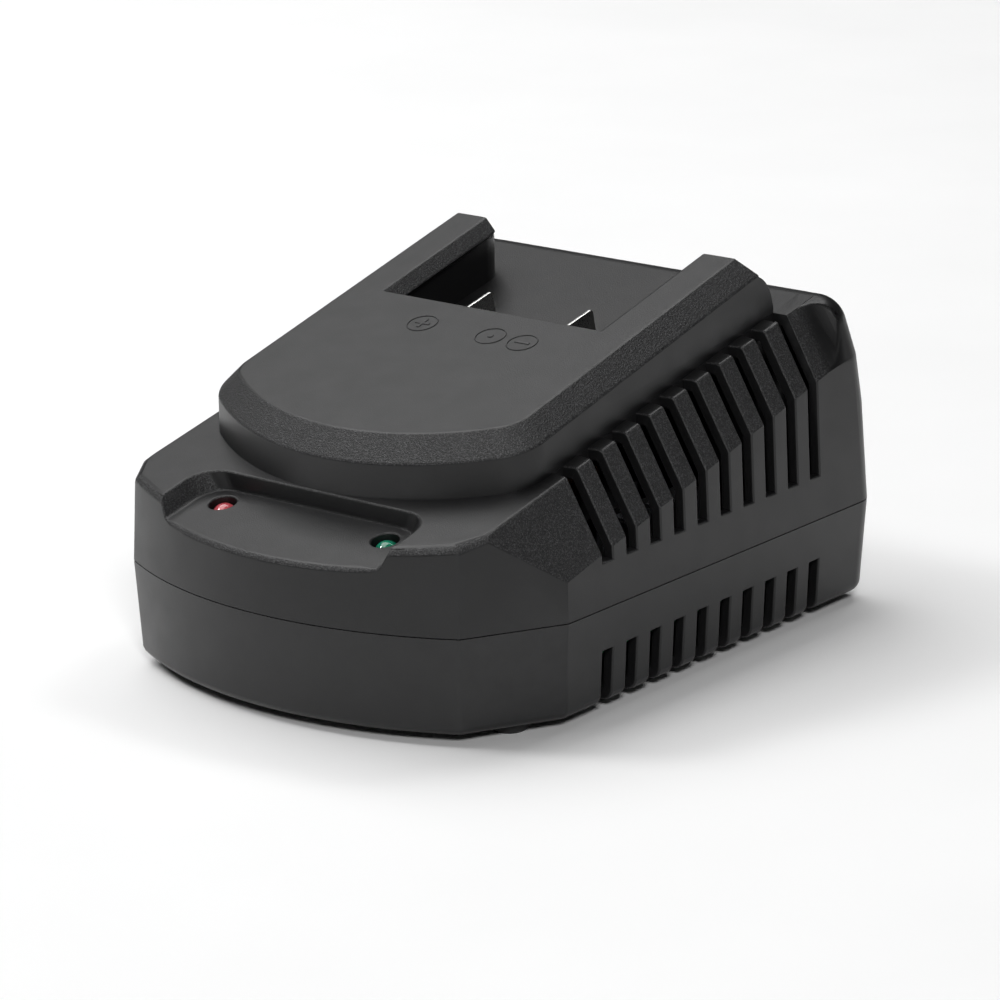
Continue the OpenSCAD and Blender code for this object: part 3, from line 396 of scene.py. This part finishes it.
def is_sharp(edge):
    """True for an edge between two faces that meet at a marked angle."""
    return len(edge.link_faces) == 2 and edge.calc_face_angle(0) > SHARP_ANGLE


def crowded(edge):
    """True for a short edge that meets a very short one at an angle, where a rounding has no room."""
    if edge.calc_length() > CROWDED_LENGTH * MM:
        return False
    for vert in edge.verts:
        along = edge.other_vert(vert).co - vert.co
        for other in vert.link_edges:
            if other is edge or other.calc_length() > EDGE_ROUND * MM or not is_sharp(other):
                continue
            bend = along.angle(vert.co - other.other_vert(vert).co, 0)
            if bend > BEND_LIMIT:
                return True
    return False


def on_lip(edge):
    """True for the front edge of the recess floor, where it meets the bow."""
    for vert in edge.verts:
        x, y, z = vert.co / MM
        over = z - DECK_HEIGHT - (y + FRONT) * DECK_RISE
        bow = math.hypot(x, y + FRONT - BOW_RADIUS)
        if abs(x) > LIP_REACH or not LIP_LOW < over < LIP_HIGH or bow < BOW_RADIUS - LIP_INSIDE:
            return False
    return True


def within(edge, x, y, z, reach):
    """True if both ends of an edge lie within reach of a spot on either side of the shell, all in mm."""
    spot = Vector((x, y - FRONT, z))
    ends = [Vector((abs(vert.co.x), vert.co.y, vert.co.z)) / MM for vert in edge.verts]
    return all((end - spot).length < reach for end in ends)


def rounding(edge, upper):
    """Rounding of one shell edge in mm."""
    if not edge.is_convex or crowded(edge) or any(within(edge, *spot) for spot in TIGHT_SPOTS):
        return 0
    if upper and on_lip(edge):
        return LIP_ROUND
    points = [Vector(vert.co) / MM for vert in edge.verts]
    if all(abs(point.z - SEAM_HEIGHT) < SEAM_BAND for point in points):
        return SEAM_ROUND
    over_deck = max(point.z - DECK_HEIGHT - (point.y + FRONT) * DECK_RISE for point in points)
    at_slot_end = all(abs(abs(point.x) - SLOT_END) < SLOT_BAND for point in points)
    if upper and over_deck < SLOT_TOP and at_slot_end:
        return 0
    return EDGE_ROUND


def set_normals(mesh):
    """Corner normals led by the largest of the faces that bend little at the corner."""
    faces = [(face.normal.copy(), face.area ** AREA_POWER) for face in mesh.polygons]
    around = [[] for _ in mesh.vertices]
    for face in mesh.polygons:
        for vert in face.vertices:
            around[vert].append(face.index)
    normals = []
    for face in mesh.polygons:
        for vert in face.vertices:
            near = [faces[other] for other in around[vert]]
            total = sum((n * lead for n, lead in near if n.dot(face.normal) > SMOOTH_LIMIT), Vector())
            normals.append(total.normalized())
    mesh.normals_split_custom_set(normals)


def rounded_copy(name):
    """Shows a shell through a copy with one welded mesh and rounded edges."""
    work = bmesh.new()
    work.from_mesh(frame["nodes"][name].data)
    bmesh.ops.remove_doubles(work, verts=work.verts, dist=SHELL_WELD * MM)
    bmesh.ops.dissolve_limit(work, angle_limit=FLAT_ANGLE, verts=work.verts,
                             edges=work.edges, delimit=set())
    weight = work.edges.layers.float.new("bevel_weight_edge")
    for edge in work.edges:
        if is_sharp(edge):
            edge[weight] = rounding(edge, name == "upper_housing") / LIP_ROUND
            edge.smooth = edge[weight] > 0
    mesh = bpy.data.meshes.new(name + "_shown")
    work.to_mesh(mesh)
    work.free()
    mesh.shade_smooth()
    shown = bpy.data.objects.new(name + "_shown", mesh)
    bpy.context.scene.collection.objects.link(shown)
    bevel = shown.modifiers.new("rounding", "BEVEL")
    bevel.width = LIP_ROUND * MM
    bevel.segments = SHELL_SEGMENTS
    bevel.limit_method = "WEIGHT"
    bevel.use_clamp_overlap = False
    bevel.miter_outer = "MITER_ARC"
    evaluated = shown.evaluated_get(bpy.context.evaluated_depsgraph_get())
    final = bpy.data.meshes.new_from_object(evaluated)
    shown.modifiers.clear()
    shown.data = final
    set_normals(final)
    final.materials.append(MATERIALS["housing_plastic"])
    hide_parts(name)
    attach(shown, "root")


def soften(node):
    """Breaks the edges of a small piece with modifiers, over its own mesh."""
    weld = node.modifiers.new("weld", "WELD")
    weld.merge_threshold = SMALL_WELD * MM
    bevel = node.modifiers.new("rounding", "BEVEL")
    bevel.width = SMALL_ROUND * MM
    bevel.segments = SMALL_SEGMENTS
    bevel.limit_method = "ANGLE"
    bevel.angle_limit = SHARP_ANGLE
    bevel.use_clamp_overlap = True
    node.modifiers.new("normals", "WEIGHTED_NORMAL").weight = 100


# ---------------------------------------------------------------- marks on the platform

def mitred(points):
    """Each point of a closed line with its sideways direction to the left, longer at corners."""
    pairs = []
    for index, point in enumerate(points):
        before, after = points[index - 1], points[(index + 1) % len(points)]
        arrive = (Vector(point) - Vector(before)).normalized()
        leave = (Vector(after) - Vector(point)).normalized()
        along = (arrive + leave).normalized()
        pairs.append((Vector(point), Vector((-along.y, along.x)) / max(along.dot(leave), MITRE_LIMIT)))
    return pairs


def join_rows(work, rows):
    """Faces between each row of corners and the next, round both ways."""
    for index, row in enumerate(rows):
        other = rows[(index + 1) % len(rows)]
        for k in range(len(row)):
            nxt = (k + 1) % len(row)
            work.faces.new((row[k], row[nxt], other[nxt], other[k]))


def ridge(points):
    """Low rounded ridge along a closed line of points in the plane of the platform top."""
    work = bmesh.new()
    rows = []
    for point, side in mitred(points):
        row = []
        for step, height in RING_SECTION:
            place = point + side * step * MARK_WIDTH / 2
            row.append(work.verts.new(top_point(*place, height)))
        rows.append(row)
    join_rows(work, rows)
    return work


def plate(points):
    """Low solid figure with sloping sides on the platform top, from points that run anticlockwise."""
    work = bmesh.new()
    foot, rim = [], []
    for point, side in mitred(points):
        foot.append(work.verts.new(top_point(*point, -MARK_DEPTH)))
        rim.append(work.verts.new(top_point(*(point + side * MARK_SIDE), MARK_RISE)))
    for k in range(len(foot)):
        nxt = (k + 1) % len(foot)
        work.faces.new((foot[k], foot[nxt], rim[nxt], rim[k]))
    work.faces.new(rim)
    work.faces.new(foot[::-1])
    return work


def top_point(x, v, w):
    """Point in metres from x, the way along the platform slope and the height over it, in mm."""
    y = v * math.cos(TOP_SLOPE) - w * math.sin(TOP_SLOPE) - FRONT
    z = TOP_HEIGHT + v * math.sin(TOP_SLOPE) + w * math.cos(TOP_SLOPE)
    return Vector((x, y, z)) * MM


def plus_points(x, v):
    """Corners of a plus sign, anticlockwise."""
    arm, half = MARK_ARM, MARK_BAR / 2
    corners = [(half, arm), (half, half), (arm, half), (arm, -half), (half, -half), (half, -arm),
               (-half, -arm), (-half, -half), (-arm, -half), (-arm, half), (-half, half), (-half, arm)]
    return [(x + a, v + b) for a, b in reversed(corners)]


def minus_points(x, v):
    """Corners of a minus sign, anticlockwise."""
    arm, half = MARK_ARM, MARK_BAR / 2
    return [(x + a, v + b) for a, b in ((-arm, -half), (arm, -half), (arm, half), (-arm, half))]


def circle_points(x, v, radius, count):
    """Corners of a circle, anticlockwise."""
    turns = [2 * math.pi * index / count for index in range(count)]
    return [(x + radius * math.cos(turn), v + radius * math.sin(turn)) for turn in turns]


def add_mark(name, centre, figure):
    """One mark: a ring round a solid figure."""
    total = bmesh.new()
    for part in (ridge(circle_points(*centre, MARK_RING, RING_CORNERS)), plate(figure)):
        bmesh.ops.recalc_face_normals(part, faces=part.faces)
        piece = bpy.data.meshes.new(name + "_part")
        part.to_mesh(piece)
        part.free()
        total.from_mesh(piece)
        bpy.data.meshes.remove(piece)
    mesh = bpy.data.meshes.new(name)
    total.to_mesh(mesh)
    total.free()
    mesh.shade_smooth()
    mesh.set_sharp_from_angle(angle=SHARP_ANGLE)
    mesh.materials.append(MATERIALS["housing_plastic"])
    mark = bpy.data.objects.new(name, mesh)
    bpy.context.scene.collection.objects.link(mark)
    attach(mark, "root")


def add_marks():
    """Plus, dot and minus in their rings. The photograph's middle mark holds a letter, which is left out."""
    plus, dot, minus = [(x, y / math.cos(TOP_SLOPE)) for x, y in (PLUS_PLACE, DOT_PLACE, MINUS_PLACE)]
    add_mark("mark_plus", plus, plus_points(*plus))
    add_mark("mark_dot", dot, circle_points(*dot, MARK_DOT, DOT_CORNERS))
    add_mark("mark_minus", minus, minus_points(*minus))


# ---------------------------------------------------------------- studio

def add_camera():
    """Camera at the photograph's viewing angle."""
    back = Vector((
        math.sin(CAMERA_AZIMUTH) * math.cos(CAMERA_ELEVATION),
        -math.cos(CAMERA_AZIMUTH) * math.cos(CAMERA_ELEVATION),
        math.sin(CAMERA_ELEVATION),
    ))
    data = bpy.data.cameras.new("camera")
    data.lens = CAMERA_LENS
    data.sensor_width = CAMERA_SENSOR
    camera = bpy.data.objects.new("camera", data)
    bpy.context.scene.collection.objects.link(camera)
    turn = (-back).to_track_quat("-Z", "Y").to_matrix() @ Matrix.Rotation(CAMERA_ROLL, 3, "Z")
    camera.matrix_world = Matrix.Translation(CAMERA_TARGET + back * CAMERA_DISTANCE) @ turn.to_4x4()
    bpy.context.scene.camera = camera


def add_area(name, place, target, size, power):
    """One softbox that faces its target."""
    data = bpy.data.lights.new(name, "AREA")
    data.shape = "RECTANGLE"
    data.size, data.size_y = size
    data.energy = power
    light = bpy.data.objects.new(name, data)
    bpy.context.scene.collection.objects.link(light)
    direction = Vector(target) - Vector(place)
    turn = direction.to_track_quat("-Z", "Y").to_matrix().to_4x4()
    light.matrix_world = Matrix.Translation(place) @ turn


def add_floor():
    """Plain pale floor that belongs to the stage."""
    mesh = bpy.data.meshes.new("floor")
    corners = [(x * FLOOR_HALF, y * FLOOR_HALF, 0) for x, y in ((-1, -1), (1, -1), (1, 1), (-1, 1))]
    mesh.from_pydata(corners, [], [(0, 1, 2, 3)])
    floor = bpy.data.objects.new("floor", mesh)
    bpy.context.scene.collection.objects.link(floor)
    mesh.materials.append(floor_paper())


def add_world():
    """Soft grey room that gets brighter from the horizon to the ceiling."""
    world = bpy.data.worlds.new("studio")
    world.use_nodes = True
    nodes = world.node_tree.nodes
    links = world.node_tree.links
    split = nodes.new("ShaderNodeSeparateXYZ")
    links.new(nodes.new("ShaderNodeTexCoord").outputs["Generated"], split.inputs[0])
    span = nodes.new("ShaderNodeMapRange")
    links.new(split.outputs["Z"], span.inputs["Value"])
    span.inputs["From Max"].default_value = ROOM_TURN
    span.inputs["To Min"].default_value = ROOM_LOW
    span.inputs["To Max"].default_value = ROOM_HIGH
    links.new(span.outputs[0], nodes["Background"].inputs["Strength"])
    bpy.context.scene.world = world


SLOT_OF = {part["node"]: part["material_slot"] for part in frame["record"]["subparts"]}
for name, node in frame["nodes"].items():
    node.data.materials.clear()
    node.data.materials.append(MATERIALS[SLOT_OF[name]])

for name, node in frame["nodes"].items():
    if name.startswith(SMALL_PIECES):
        soften(node)
rounded_copy("upper_housing")
rounded_copy("lower_housing")
add_marks()
add_floor()
add_world()
add_area("ceiling", CEILING_PLACE, CEILING_PLACE - Vector((0, 0, 1)), CEILING_SIZE, CEILING_POWER)
for name, direction, size, power in EDGE_LIGHTS:
    place = Vector(direction).normalized() * EDGE_LIGHT_DISTANCE
    add_area(name, place, EDGE_LIGHT_TARGET, size, power)
add_camera()
bpy.context.scene.view_settings.view_transform = "Standard"
